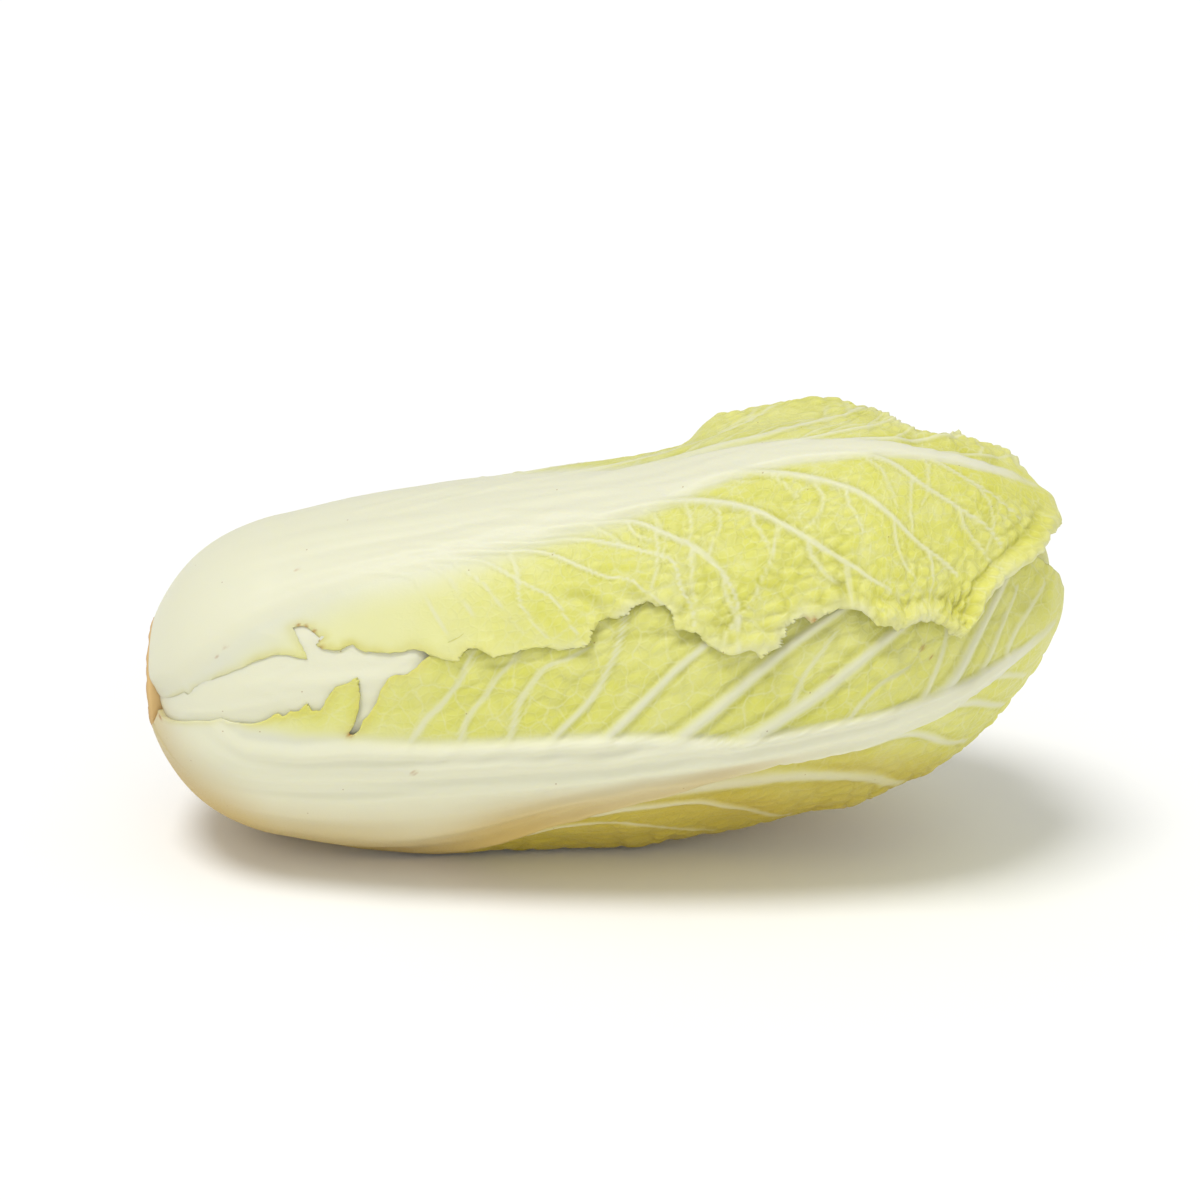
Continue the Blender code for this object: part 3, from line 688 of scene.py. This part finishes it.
# The leaves' tables. Sides, midrib and lines are places: mm from the stem end, degrees sideways.
# A vein is its half-width, height and line, a fold its width, depth and line, a dent its place, size
# and depth, a brown mark its place and size. The lays are mm that a margin is pressed to its neighbour.
# The spine is the leaf's turn round the head at its foot, middle and tip, in degrees.
upperLeaf = {
    "name": "leafOuterUpper", "node": "leaf_outer_upper", "slot": "outer_leaf", "seed": 11,
    "spine": (70, 68, 76), "tip": 322, "sweep": 70, "rows": 326, "columns": 144,
    "lowSide": [(0, 80), (20, 64), (60, 50), (110, 51), (150, 52), (200, 62), (250, 63), (300, 61),
                (322, 56)],
    "highSide": [(0, 47), (40, 48), (90, 47), (130, 50), (160, 54), (200, 56), (240, 56), (300, 50)],
    "midrib": [(0, 0), (100, 3), (156, 6), (188, 8), (206, 6.8), (219, 5.2), (238, 1.2), (260, -0.8),
               (278, -1), (292, 1.5), (304, 5), (322, 8)],
    "whiteStalk": stalkWhite(1.0, 0.6),
    "stalkSides": (
        [(0, 64), (16, 60), (31, 46), (48, 33), (64, 26), (76, 23), (86, 21), (107, 18.5), (122, 16.5),
         (161, 12), (201, 7), (241, 3.4), (282, 2), (322, 1)],
        [(0, 44), (60, 46), (92, 45), (114, 32), (136, 21), (161, 13), (201, 7), (241, 3.4), (282, 2),
         (322, 1)],
    ),
    "shoulder": (0.78, 1.04), "bare": 8, "frill": 0.75, "greenFrom": (92, 180),
    "bladeDepth": 1.5, "grooves": 0.22, "green": 1.0, "thick": 6.5, "thin": 0.9,
    "veins": [
        (2.4, 0.9, [(60, 4), (120, 5), (156, 6), (188, 8), (206, 6.8), (219, 5.2), (238, 1.2),
            (260, -0.8), (278, -1), (292, 1.5), (304, 5)]),
        (1.0, 0.3, [(75, -14), (93, -16.8), (98, -18.4), (101.5, -22), (105, -29), (111, -40)]),
        (1.0, 0.35, [(85, -13), (98, -13.8), (104, -15.2), (109, -19), (113, -26), (117, -31), (123, -38)]),
        (1.0, 0.35, [(88, -10), (101, -10.8), (107, -12.5), (112, -15.5), (118, -20.5), (123, -25.5),
            (127, -32), (133, -39)]),
        (1.0, 0.3, [(128, -13), (130.5, -19), (131, -24), (132, -30), (135, -34.5), (140, -40.5)]),
        (1.2, 0.5, [(85, -11), (110, -13.6), (119, -15), (125, -18.3), (131, -22.6), (136, -25.6),
            (142, -29.5), (147, -37), (152, -44)]),
        (1.4, 0.8, [(95, -9), (126, -12.8), (134, -13.6), (142, -16), (150, -20.3), (158, -24.3),
            (165, -26), (170, -30.2), (177, -37)]),
        (1.4, 0.7, [(100, -6), (131, -10.6), (149, -11.5), (160, -14.3), (169, -17.8), (177, -22),
            (179.5, -26), (181, -32), (184, -38), (185, -46)]),
        (1.7, 1.0, [(115, -3), (144, -6.5), (161, -6.9), (169, -9), (179, -16), (186, -22), (194, -32),
            (198, -42), (198, -54)]),
        (2.2, 1.4, [(125, 1), (156, -3), (169, -2.4), (183, -4.5), (201, -13), (215, -24), (227, -34),
            (238, -42), (250, -47)]),
        (2.2, 1.4, [(150, 6), (188, 2.6), (202, -0.3), (218, -6.4), (233, -14.5), (245, -23.6),
            (259, -33), (280, -39.5)]),
        (1.8, 1.0, [(205, 5), (237, -2.1), (247, -6.2), (258, -14), (273, -20), (285, -22.5), (293, -26)]),
        (1.4, 0.8, [(235, 1), (258, -2.2), (272, -8.3), (285, -11.6), (298, -15)]),
        (4.6, 1.6, [(110, 8), (144, 10), (156, 13.4), (169, 17.6), (189, 19), (204, 18), (213, 19.5),
            (222, 23.5), (234, 31), (244, 40)]),
        (1.9, 1.1, [(90, 10), (140, 19), (168, 26), (200, 36), (215, 48)]),
        (1.7, 1.0, [(80, 14), (115, 23), (145, 34), (170, 50)]),
        (1.7, 1.0, [(190, 9), (225, 11), (245, 17), (262, 30)]),
        (1.4, 0.8, [(225, 6), (252, 6), (275, 14), (290, 28)]),
        (1.2, 0.7, [(262, 1), (285, 6), (300, 17)]),
    ],
    "quilt": 6.2, "netWhite": 0.55, "blister": 1.25, "ruffle": 2.4, "waveSize": 8, "flareHigh": 7,
    "rolled": (236, 2.6), "fading": 0.2, "sideways": 1.5, "grownFrom": (95, 215), "crumple": 1.6,
    "layLow": [(0, 2.6), (30, 2.4), (50, 1.6), (112, 1.2), (135, 1.1), (154, 1.3), (176, 1.3), (190, 1.1),
               (220, 1.0), (240, 0)],
    "layHigh": [(0, 2.2), (60, 2), (110, 1.4), (160, 0.8), (200, 0)],
    "cuts": [
        [(-9, -74), (5, -72), (9, -65), (21, -57), (24, -58.5), (26, -54), (36, -49), (43, -46), (51, -42),
         (56, -40.5), (60, -41), (66, -42.5), (64, -37), (62, -33), (61, -31), (64, -30.5), (67, -32.5),
         (70, -36), (69, -38), (71, -39.5), (76, -40), (80, -38.5), (85, -41), (92, -42), (99, -40),
         (103, -42), (109, -45), (113, -45), (115, -42), (119, -42), (124, -45), (130, -44), (138, -43),
         (144, -44), (150, -44), (154, -43), (154.5, -40), (158, -36), (162, -37), (168, -34), (171, -33),
         (173, -35), (177, -36), (177.5, -39), (179, -43), (186, -45), (187, -48), (192, -52),
         (196, -54.5), (202, -54.5), (205, -57), (207, -55.5), (211, -55), (213, -50.5), (217, -48),
         (219.5, -51), (224, -50), (228, -49), (234, -51), (239, -53), (245, -56.5), (250, -56),
         (258, -58), (266, -56), (275, -54), (283, -54.5), (293, -55), (301, -54), (300, -47),
         (297, -42), (300, -34), (304, -27), (307, -20), (309, -13), (312, -6), (316, 2), (345, 8),
         (345, -99), (-9, -99)],
        [(244, 70), (247, 50), (251, 34), (254, 19), (259, 12), (266, 11), (271, 14), (277, 20), (288, 23),
         (294, 19), (300, 13), (309, 10), (316, 2), (345, 2), (345, 70)],
    ],
    "dents": [(257, 6.5, 4.5, 1.6), (266, 3, 4, 1.0), (275, 5.5, 4.5, 1.2), (285, 3.5, 4, 0.9),
              (193, -45, 3, 0.8)],
    "folds": [
        (1.6, 0.8, [(143, -28.6), (151.8, -29.2), (156.2, -32.9), (158.6, -37)]),
        (1.7, 0.9, [(163, -27.4), (168.5, -32), (173, -36), (176, -38.6)]),
        (1.3, 1.1, [(184, -32), (182, -36.5), (180, -41)]),
        (1.2, 0.8, [(226, -40), (229, -44), (230, -50)]),
        (1.2, 0.8, [(286, -42), (287, -47), (285, -53)]),
    ],
    "brown": [
        (63, -30.6, 0.6), (65.5, -31.2, 0.6), (68, -33.2, 0.7), (69.5, -36, 0.8), (70.5, -38.6, 0.7),
        (218, -49.5, 0.7), (220.5, -50.5, 0.9), (40, -37, 0.45), (36.3, -40.4, 0.45), (62, -11, 0.45),
    ],
    "material": outerSkin,
}

frontLeaf = {
    "name": "leafOuterFront", "node": "leaf_outer_front", "slot": "outer_leaf", "seed": 41,
    "spine": (-30, -24, -12), "tip": 332, "sweep": 76, "rows": 326, "columns": 144,
    "lowSide": [(0, 34), (40, 38), (90, 40), (130, 46), (180, 52), (240, 50), (300, 46)],
    "highSide": [(0, 40), (30, 42), (60, 47), (84, 52), (100, 55), (140, 62), (190, 64), (240, 60),
                 (300, 52)],
    "cuts": [
        [(-9, 14), (5, 16), (12, 21), (19, 25.5), (26, 29), (33, 31), (37.5, 33), (41, 32), (49, 32),
         (53, 33.5), (56.5, 36), (58, 34.5), (61, 37), (63, 36), (66, 39.5), (67.5, 36.5), (70, 36.5),
         (72.5, 40), (75, 44), (79.5, 45.5), (81.5, 47.5), (83, 43.5), (82.3, 37), (81, 32.5), (78.5, 30),
         (79.5, 28.5), (82, 29.5), (84, 33.5), (87, 37), (89, 41), (91, 45), (94, 46.7), (97, 46.3),
         (100, 48), (103, 51), (112, 56), (140, 66), (140, 99), (-9, 99)],
    ],
    "midrib": [(0, 0), (60, 4), (104, 7), (144, 8.6), (169, 9.5), (187, 7.4), (199, 5.3), (214, 3.3),
               (228, 2.3), (244, 1), (252, 0.6), (265, 1), (274, 1.6), (287, 2.4), (303, 2.1), (332, 0.5)],
    "whiteStalk": stalkWhite(1.0, 0.22),
    "stalkSides": (
        [(0, 60), (95, 54), (111, 44), (124, 32.7), (139, 22), (154, 16.4), (169, 12.3), (183, 9.6),
         (192, 7.4), (199, 5.9), (211, 4.6), (221, 5.2), (236, 5.6), (252, 4.7), (265, 4.6), (274, 3.8),
         (288, 2.5), (298, 2), (332, 0.8)],
        [(0, 40), (30, 34), (46, 22.5), (63, 20.3), (79, 21.2), (104, 16.5), (126, 15), (140, 13.9),
         (154, 12.9), (168, 10.8), (182, 9), (199, 5.8), (214, 5.9), (232, 5.2), (247, 5), (257, 4.4),
         (275, 2.9), (298, 1.7), (332, 0.8)],
    ),
    "folds": [
        (1.5, 0.9, [(148, 51), (156, 50), (168, 49.5), (183, 47.3), (192, 48)]),
        (1.3, 0.7, [(176, 44), (182, 45.5), (190, 45)]),
    ],
    "greenFrom": (62, 132), "taper": (1.0, 0.5, 1), "calm": 0.15, "bare": 99, "flank": 0.3,
    "bladeDepth": 4.3, "bands": 4.4, "grooves": 0.55, "tuckLow": -3.0, "rests": True,
    "shoulder": (0.84, 1.08), "green": 0.95, "thick": 6.0, "thin": 0.9,
    "veins": [
        (2.0, 0.7, [(150, 8.8), (169, 9.5), (187, 7.4), (199, 5.3), (214, 3.3), (228, 2.3), (244, 1),
            (265, 1), (287, 2.4), (314, 1.6)]),
        (1.2, 0.5, [(96, 22), (102.5, 31.4), (107.5, 36), (111, 40), (114, 44), (119, 56)]),
        (1.1, 0.6, [(102, 19), (112, 22.5), (114.6, 29), (117, 33), (121.5, 38), (124.5, 42.5),
            (128, 45.5), (131, 49), (133, 58)]),
        (1.2, 0.8, [(110, 18), (126, 22), (129.6, 27), (130.8, 32.5), (133, 36.6), (136.5, 41),
            (140, 44.3), (146, 45.6), (152, 48)]),
        (1.35, 1.0, [(122, 17), (138, 20), (145.5, 26), (151.4, 31), (155.7, 36), (158.8, 41.5),
            (161.5, 47), (164, 56)]),
        (1.75, 1.3, [(140, 16), (155, 19.5), (165, 26.5), (172.6, 32.3), (179.5, 37.4), (188, 42),
            (194, 46), (202, 56)]),
        (2.4, 1.6, [(158, 14), (176, 15.8), (186.5, 20), (196.6, 25), (203.6, 29.2), (211, 33.3),
            (217, 36), (226, 39.8), (240, 46)]),
        (2.6, 1.7, [(182, 9), (199, 10), (206.5, 12), (213, 14.4), (220.5, 17), (227.8, 20.6),
            (235, 24.3), (244.5, 28), (256, 31), (270, 36)]),
        (2.2, 1.4, [(246, 1.5), (259, 3), (267, 5), (273.4, 9.8), (278.7, 14.3), (285.7, 18.5),
            (292, 21.8), (304, 27)]),
        (1.2, 0.7, [(248, 2.5), (257.5, 5), (262, 10.4), (266, 16.1), (268.5, 20.5), (272, 28)]),
        (1.1, 0.7, [(268, 1.6), (278, 3.8), (283, 7.2), (287.6, 11.4), (292, 14.3), (302, 20)]),
        (1.1, 0.6, [(280, 2), (289, 2.9), (291, 6.7), (296, 9.9), (302, 11.6), (314, 14)]),
        (1.1, 0.4, [(209, 11), (213.7, 14.5), (215.5, 20), (218.5, 25.3), (223, 29.9), (228, 35.3)]),
        (1.1, 0.4, [(226, 3.5), (231, 5.8), (236, 11.4), (243, 15.5), (253, 17)]),
        (4.2, 1.5, [(160, 1), (180, -0.5), (193, -3.4), (203, -6.4), (212, -9.4), (221, -13.4),
            (230, -19), (240, -26.6), (252, -36.5), (262, -43)]),
        (1.9, 1.0, [(140, -3), (153, -8.2), (165, -7.2), (183, -10.4), (194, -18), (206, -31), (217, -43)]),
        (1.5, 0.8, [(118, -18), (131, -20.5), (143.6, -15.5), (156, -15.4), (169, -20.4), (184, -34.5),
            (193, -42)]),
        (2.0, 1.1, [(215, 0.5), (236.5, -4.4), (248.6, -5.6), (256, -8.9), (265.4, -16.6),
            (276.4, -25.5), (290, -33)]),
        (1.7, 0.9, [(245, -0.5), (261, -2.8), (270.4, -3.4), (279, -7), (287.5, -12.9), (305, -24)]),
        (1.3, 0.7, [(275, 1), (284, 0), (293, -4), (306, -12)]),
    ],
    "quilt": 9.5, "netShow": 1.0, "netWhite": 0.25, "wrinkles": 1.6, "blister": 0.95, "ruffle": 1.0,
    "waveSize": 12,
    "layHigh": [(0, 2.6), (30, 2.6), (46, 0.8), (66, 0.2), (76, -0.6), (86, -1), (102, -1.6), (112, -1.4),
                (122, 0)],
    "brown": [
        (79.5, 29, 0.9), (259, 21, 0.7), (262, 17, 0.5), (226, 22, 0.5), (99, 16, 0.6), (3, 13, 1.6),
    ],
    "material": frontSkin,
}

backLeaf = {
    "name": "leafOuterBack", "node": "leaf_outer_back", "slot": "outer_leaf", "seed": 71,
    "spine": (166, 165, 170), "tip": 318, "sweep": 70, "rows": 240, "columns": 108,
    "lowSide": [(0, 47), (40, 47), (90, 48), (130, 54), (180, 60), (240, 58), (300, 50)],
    "highSide": [(0, 46), (40, 46), (90, 48), (130, 50), (180, 54), (240, 54), (300, 48)],
    "midrib": [(0, 0), (110, 3), (200, -3), (318, 4)],
    "stalk": (38, 40, 30, 20, 13, 8, 5, 3, 3), "whiteStalk": stalkWhite(0.95, 0.5),
    "bladeDepth": 4.3, "grooves": 0.35, "quilt": 6.4, "blister": 0.8, "ruffle": 1.5, "waveSize": 11,
    "green": 1.0, "thick": 6.0, "thin": 0.9, "bare": 99, "material": outerSkin,
}

underLeaf = {
    "name": "leafOuterUnder", "node": "leaf_outer_under", "slot": "outer_leaf", "seed": 101,
    "spine": (-106, -94, -96), "tip": 304, "sweep": 60, "rows": 230, "columns": 100,
    "lowSide": [(0, 41), (40, 42), (90, 48), (130, 58), (180, 64), (240, 62), (290, 52)],
    "highSide": [(0, 41), (40, 38), (90, 30), (130, 22), (180, 20), (240, 21), (290, 24)],
    "midrib": [(0, 0), (110, -3), (200, 2), (304, 0)],
    "stalk": (36, 38, 32, 24, 17, 10, 6, 4, 3), "whiteStalk": stalkWhite(0.95, 0.5),
    "bladeDepth": 1.5, "grooves": 0.3, "tuckHigh": 2.5, "quilt": 6.2, "blister": 0.7, "ruffle": 1.4,
    "waveSize": 10, "green": 1.0, "thick": 5.5, "thin": 0.9, "rests": True, "bare": 99,
    "layLow": [(0, 2.2), (60, 2), (120, 1.8), (170, 1), (200, 0)], "material": outerSkin,
}

# the two wrappers that don't show have veins by rule, each with a half-width and a height
hiddenVeins = {"midrib": (2.4, 1.0), "others": (2.2, 1.2)}
for leaf, count in ((backLeaf, 8), (underLeaf, 7)):
    leaf["veins"] = [(*hiddenVeins["midrib"], leaf["midrib"][1:])]
    for side, seed in ((1, leaf["seed"]), (-1, leaf["seed"] + 1)):
        leaf["veins"] += ruledVeins(leaf, side, count, *hiddenVeins["others"], seed)

for leaf in (upperLeaf, frontLeaf, backLeaf, underLeaf):
    growLeaf(leaf)


def youngerLeaves():
    # the two rings of leaves inside the wrappers, shallow pairs over deeper ones
    second = layerShape["outer"]
    third = second + layerShape["second"]
    wide = [(0, 36), (40, 40), (90, 44), (150, 52), (200, 52), (250, 48), (310, 44)]
    narrow = [(0, 36), (40, 40), (90, 46), (150, 50), (200, 50), (250, 46), (310, 40)]
    deeper = layerShape["deeper"]
    rows = [
        ("SecondFront", (16, 22, 26), 332, 0, second, 190, 84),
        ("SecondUpper", (110, 112, 114), 322, deeper, second, 130, 56),
        ("SecondBack", (-160, -158, -156), 314, 0, second, 130, 56),
        ("SecondUnder", (-72, -68, -66), 318, deeper, second, 130, 56),
        ("ThirdFront", (-22, -20, -20), 322, 0, third, 100, 44),
        ("ThirdUpper", (68, 70, 74), 330, deeper, third, 100, 44),
        ("ThirdBack", (158, 160, 160), 316, 0, third, 100, 44),
        ("ThirdUnder", (-112, -110, -108), 318, deeper, third, 100, 44),
    ]
    for k, (name, spine, tip, deep, start, rowCount, columnCount) in enumerate(rows):
        inSecond = name.startswith("Second")
        ring, place = ("second", name[6:]) if inSecond else ("third", name[5:])
        side = wide if inSecond else narrow
        if name == "SecondFront":
            side = [(0, 60), (20, 60), (45, 54)] + wide[2:]
        leaf = {
            "name": "leaf" + name, "node": "leaf_" + ring + "_" + place.lower(), "seed": 200 + 20 * k,
            "slot": "outer_leaf" if inSecond else "inner_leaf",
            "spine": spine, "tip": tip, "sweep": 60 if inSecond else 56,
            "rows": rowCount, "columns": columnCount, "lowSide": side, "highSide": side,
            "midrib": [(0, 0), (tip, 0)], "stalk": (34, 38, 28, 18, 12, 7, 5, 4, 4),
            "whiteStalk": stalkWhite(0.95, 0.5), "start": start, "bladeDepth": deep + 0.7,
            "grooves": 0.3, "quilt": 7.5, "blister": 0.5, "ruffle": 0.5, "waveSize": 10,
            "green": 0.8 if inSecond else 0.6, "thick": 4.2, "thin": 0.8,
            "material": outerSkin if inSecond else innerSkin,
        }
        if name == "SecondFront":
            # its stalk swells out to fill the split between the two front wrappers
            leaf["crown"] = {
                "rise": 5.15, "end": 122, "highEdge": 32,
                "lowEdge": [(0, -42), (40, -32), (60, -26), (80, -23), (92, -13), (102, -6), (122, 2)],
            }
        leaf["veins"] = [(2.2, 0.8, [(60, 0), (tip * 0.55, 0), (tip - 6, 0)])]
        if name == "SecondFront":
            leaf["veins"].append((1.5, 0.9, [(22, -14), (60, -5), (100, 4), (128, 9)]))
        for turned in (1, -1):
            leaf["veins"] += ruledVeins(leaf, turned, 7, 1.5, 0.8, leaf["seed"] + turned)
        growLeaf(leaf)


youngerLeaves()


def foldedHeart():
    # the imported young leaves: their rolled edges stand out of one mass in a spiral
    heart = {
        "rows": 210, "columns": 320, "folds": 6, "twist": 2.4, "rise": 2.6, "sunk": 1.5,
        "hollow": 38, "from": 3, "short": 2, "veinsPerFold": 5,
    }
    h = headShape
    toPole = (h["overStem"] + h["overBarrel"] + h["overTip"]) / mm
    piece, at, turn = startGrid("heartFolded", heart["rows"], heart["columns"])
    mesh = piece.data
    row, turn = np.round(at * heart["rows"]), turn * 2 * math.pi
    run = heart["from"] + (toPole - heart["short"] - heart["from"]) * (row - 1) / (heart["rows"] - 2)
    run = np.clip(run, heart["from"], toPole - heart["short"])
    toTip = toPole - run
    p, q = toTip * np.cos(turn), toTip * np.sin(turn)
    wander = 0.14 * hills(p, q, 16, 301) + 0.05 * hills(p, q, 6, 302)
    spiral = (heart["folds"] * turn / (2 * math.pi) + heart["twist"] * run / toPole + wander) % 1
    nearTip = ease(0.55, 0.8, run / toPole)
    fold = heart["rise"] * (1 - spiral) ** 0.8 * ease(0.1, 0.4, run / toPole) * (1 + 0.5 * nearTip)
    curls = nearTip * ease(2, 14, toTip)
    crumple = 0.9 * hills(p, q, 7, 303) + 0.5 * hills(p, q, 3.2, 304) + 0.25 * hills(p, q, 1.6, 305)
    offVein = ((spiral * heart["veinsPerFold"]) % 1 - 0.5) * toTip
    vein = bell(offVein, 9) * ease(6, 20, toTip)
    allRings = layerShape["outer"] + layerShape["second"] + layerShape["third"]
    depth = along(layerShape["at"], allRings, run * mm)
    depth = depth + (fold + heart["sunk"] + curls * (crumple + 0.8) - 0.4 * vein * nearTip) * mm
    points = headPoint(run * mm, 0, turn, depth)
    for last, inner, deep in ((0, 1, heart["hollow"]), (heart["rows"], heart["rows"] - 1, 0)):
        points[row == last] = points[row == inner].mean(axis=0) + [deep * mm, 0, 0]
    mesh.vertices.foreach_set("co", points.ravel())
    # painted shade: the hollow mark darkens the skin with the same small noise that crumples the surface
    # near the tip; away from the tip it is random darker tone
    giveMarks(mesh, {
        "green": 0.55 + 0.25 * hills(p, q, 9, 306), "white": 0.45 * vein * nearTip,
        "hollow": 0.5 + 0.5 * hills(p, q, 3.2, 304), "rim": ease(0.93, 0.99, spiral) * nearTip,
    })
    placeMap(mesh, p, q)
    closeUp()
    piece.data.materials.append(innerSkin)
    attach(piece, "root")
    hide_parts("heart")
    print("heart folded,", len(mesh.polygons), "faces")


def cutStem():
    # a turned profile: the dished cut face, its sharp rim and the cone that runs inside
    cut = {
        "rows": 72, "columns": 120, "at": 2.0, "radius": 18.8, "neck": 8, "shoulder": 19, "point": 54,
        "clear": 0.7, "pith": 11.5,
        "pale": "#E8DDB8", "stainAndShade": "#D0AE72", "strands": "#A8712F", "side": "#E0BE82",
    }
    slope, coneTip = math.tan(headShape["stemCone"]), 45
    piece, at, turn = startGrid("stemCut", cut["rows"], cut["columns"])
    mesh = piece.data
    turn = (turn - 0.5) * 2 * math.pi
    neckRadius, shoulderRadius = ((coneTip - cut[n]) * slope - cut["clear"] for n in ("neck", "shoulder"))
    places = [0, 0.3, 0.5, 0.53, 0.6, 0.72, 0.97, 1]
    radii = [0, 12, cut["radius"], cut["radius"] + 0.4, neckRadius, shoulderRadius, 0.9, 0]
    depths = [cut["at"] + 0.9, cut["at"] + 0.2, cut["at"], cut["at"] + 1, cut["neck"], cut["shoulder"],
              cut["point"] - 1, cut["point"]]
    radius = np.interp(at, places, radii)
    x = np.interp(at, places, depths)
    onFace = ease(0.53, 0.48, at)
    p, q = radius * np.cos(turn), radius * np.sin(turn)
    x = x + onFace * (0.35 * hills(p, q, 3, 5) + 0.2 * hills(p, q, 1.4, 6)) * ease(0, 2, radius)
    (middleX, middleY), axisHeight = headShape["middle"], headShape["axisHeight"][0]
    points = np.stack([x * mm - middleX, p * mm - middleY, q * mm + axisHeight], axis=1)
    mesh.vertices.foreach_set("co", points.ravel())
    ring = 0.6 * bell(radius - cut["pith"], 1.3) * onFace
    ring = np.maximum(ring, bell(radius - cut["radius"], 1.5) * ease(0.58, 0.52, at))
    giveMarks(mesh, {"ring": ring, "face": onFace})
    closeUp()

    # cut plant stem: moist pith that browns in the air, darkest at the ring of strands
    made, tree, shader = startMaterial("cutStemTissue")
    where = addNode(tree, "ShaderNodeTexCoord", {}).outputs["Object"]
    ring = addNode(tree, "ShaderNodeAttribute", {"attribute_name": "ring"}).outputs["Fac"]
    face = addNode(tree, "ShaderNodeAttribute", {"attribute_name": "face"}).outputs["Fac"]
    cloud = addNode(
        tree, "ShaderNodeTexNoise", {"Scale": 320, "Detail": 5, "Roughness": 0.65}, [("Vector", where)],
    ).outputs[0]
    skin = mixColour(tree, cloud, cut["pale"], cut["stainAndShade"])
    skin = mixColour(tree, mathNode(tree, "MULTIPLY", ring, 0.7), skin, cut["strands"])
    skin = mixColour(tree, face, cut["side"], skin)
    tree.links.new(skin, shader.inputs["Base Color"])
    tree.links.new(bump(tree, cloud, 0.5, 0.3), shader.inputs["Normal"])
    shader.inputs["Roughness"].default_value = 0.7
    piece.data.materials.append(made)
    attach(piece, "root")
    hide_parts("stem")
    print("stem turned")


foldedHeart()
cutStem()

# a plain pale floor, soft light from above and a fill from the camera's side
studio = {
    "floor": "#FBFBFA", "world": "#FFFFFF", "worldStrength": 0.53,
    "key": {"at": (-0.35, -0.25, 1.5), "angle": 24 * deg, "strength": 1.65},
    "fill": {"at": (0.5, -1.5, 0.35), "angle": 60 * deg, "strength": 0.72},
    "lookAt": (-0.0015, 0, 0.0806), "distance": 0.917, "elevation": 20 * deg, "lens": 85,
}


def setStudio():
    bpy.ops.object.select_all(action="DESELECT")
    bpy.ops.mesh.primitive_plane_add(size=14, location=(0, 2, 0))
    floor = bpy.context.object
    floor.name = "floor"
    # matt painted board: pale, and with no gloss to mirror the head
    made, tree, shader = startMaterial("paleFloor")
    shader.inputs["Base Color"].default_value = colour(studio["floor"])
    shader.inputs["Roughness"].default_value = 0.9
    shader.inputs["Specular IOR Level"].default_value = 0.1
    floor.data.materials.append(made)
    world = bpy.data.worlds.new("paleRoom")
    world.use_nodes = True
    sky = world.node_tree.nodes["Background"]
    sky.inputs["Color"].default_value = colour(studio["world"])
    sky.inputs["Strength"].default_value = studio["worldStrength"]
    bpy.context.scene.world = world
    bpy.context.scene.view_settings.view_transform = "Standard"  # a white ground stays white
    for name in ("key", "fill"):
        plan = studio[name]
        bpy.ops.object.light_add(type="SUN", location=plan["at"])
        lamp = bpy.context.object
        lamp.name = name
        lamp.data.angle = plan["angle"]  # a wide source, for soft shadows
        lamp.data.energy = plan["strength"]
        aim(lamp, (0, 0, 0.06))
    bpy.ops.object.camera_add()
    camera = bpy.context.object
    look = np.array(studio["lookAt"])
    backwards = np.array([0, -math.cos(studio["elevation"]), math.sin(studio["elevation"])])
    camera.location = look + backwards * studio["distance"]
    aim(camera, look)
    camera.data.lens = studio["lens"]
    camera.data.sensor_width = 36
    camera.data.clip_start = 0.01
    bpy.context.scene.camera = camera
    print("studio set")


def aim(thing, target):
    # turns a lamp or the camera towards a point
    away = thing.location.copy()
    away.x, away.y, away.z = (t - a for t, a in zip(target, thing.location))
    thing.rotation_euler = away.to_track_quat("-Z", "Y").to_euler()


setStudio()
